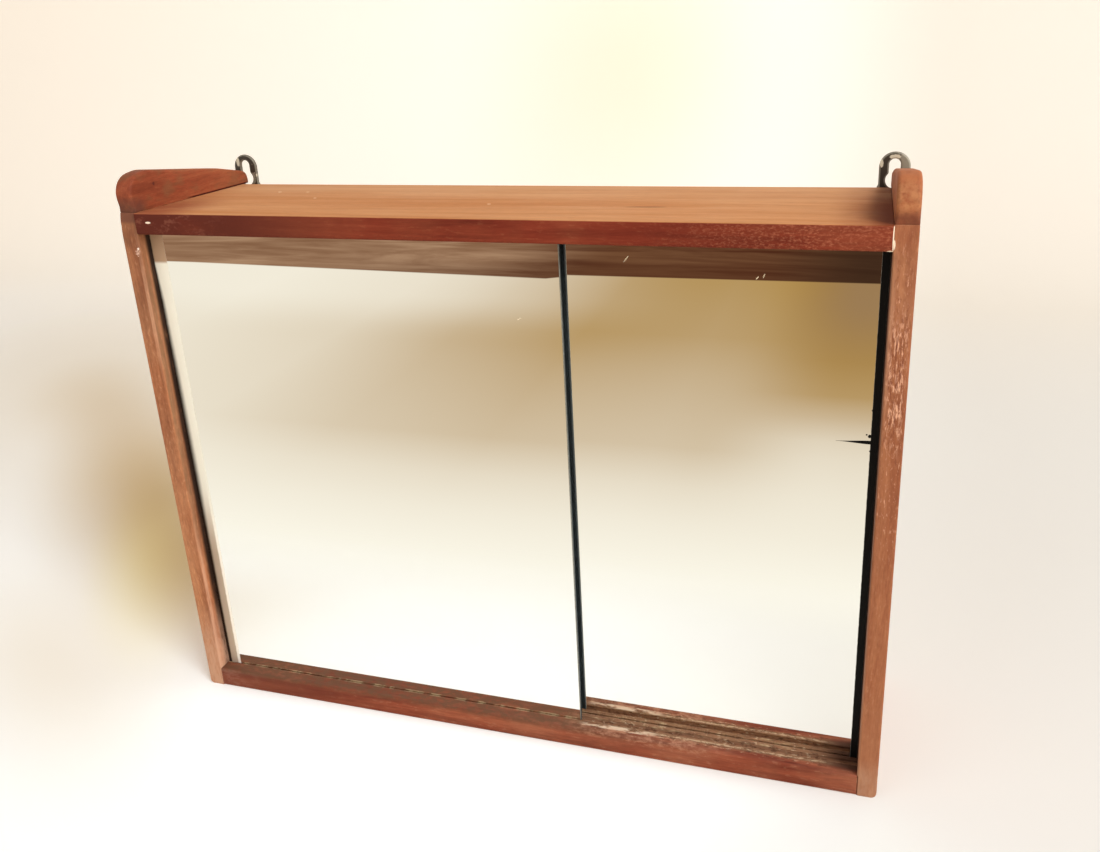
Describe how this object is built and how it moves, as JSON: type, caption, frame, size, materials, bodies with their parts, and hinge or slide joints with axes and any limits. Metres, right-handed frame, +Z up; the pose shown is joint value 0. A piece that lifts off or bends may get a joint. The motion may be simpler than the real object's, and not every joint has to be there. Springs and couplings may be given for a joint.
{
  "type": "bathroom wall cabinet",
  "caption": "Shallow wooden wall cabinet with frameless sliding mirror doors, a display shelf between carved ears on top, loose inner shelves and eye plates to hang it by.",
  "frame": {"origin": "middle of the box of the whole cabinet, on its underside", "axes": "+X to the viewer's right along the width, the mirrors face -Y, +Y towards the wall, +Z up"},
  "size_m": [0.6, 0.157, 0.4755],
  "materials": {
    "frame_teak": "oiled, worn",
    "shelf_teak": "oiled, sun-bleached",
    "bottom_teak": "oiled, worn",
    "ear_teak": "oiled, carved",
    "inner_shelf_teak": "oiled",
    "back_plywood": "raw",
    "dowel_beech": "raw",
    "mirror_glass": "silvered at the back, ground edges",
    "hanger_steel": "dark, worn bright",
    "screw_steel": "dull",
    "nail_steel": "dull",
    "pin_brass": "turned"
  },
  "bodies": {
    "cabinet": {"left_side": "frame_teak", "right_side": "frame_teak", "top_board": "shelf_teak", "bottom_board": "bottom_teak", "back_panel": "back_plywood", "back_panel_nails": "nail_steel", "left_ear": "ear_teak", "right_ear": "ear_teak", "left_ear_dowels": "dowel_beech", "right_ear_dowels": "dowel_beech", "left_top_dowels": "dowel_beech", "right_top_dowels": "dowel_beech", "left_bottom_dowels": "dowel_beech", "right_bottom_dowels": "dowel_beech", "lower_shelf": "inner_shelf_teak", "upper_shelf": "inner_shelf_teak", "lower_shelf_pins": "pin_brass", "upper_shelf_pins": "pin_brass", "left_hanger": "hanger_steel", "right_hanger": "hanger_steel", "left_hanger_screws": "screw_steel", "right_hanger_screws": "screw_steel"},
    "front_door": {"front_door": "mirror_glass"},
    "rear_door": {"rear_door": "mirror_glass"}
  },
  "joints": [
    {"name": "front_door_slide", "type": "slide", "parent": "cabinet", "child": "front_door", "axis": [1, 0, 0], "range_m": [0, 0.2239]},
    {"name": "rear_door_slide", "type": "slide", "parent": "cabinet", "child": "rear_door", "axis": [-1, 0, 0], "range_m": [0, 0.3194]}
  ]
}
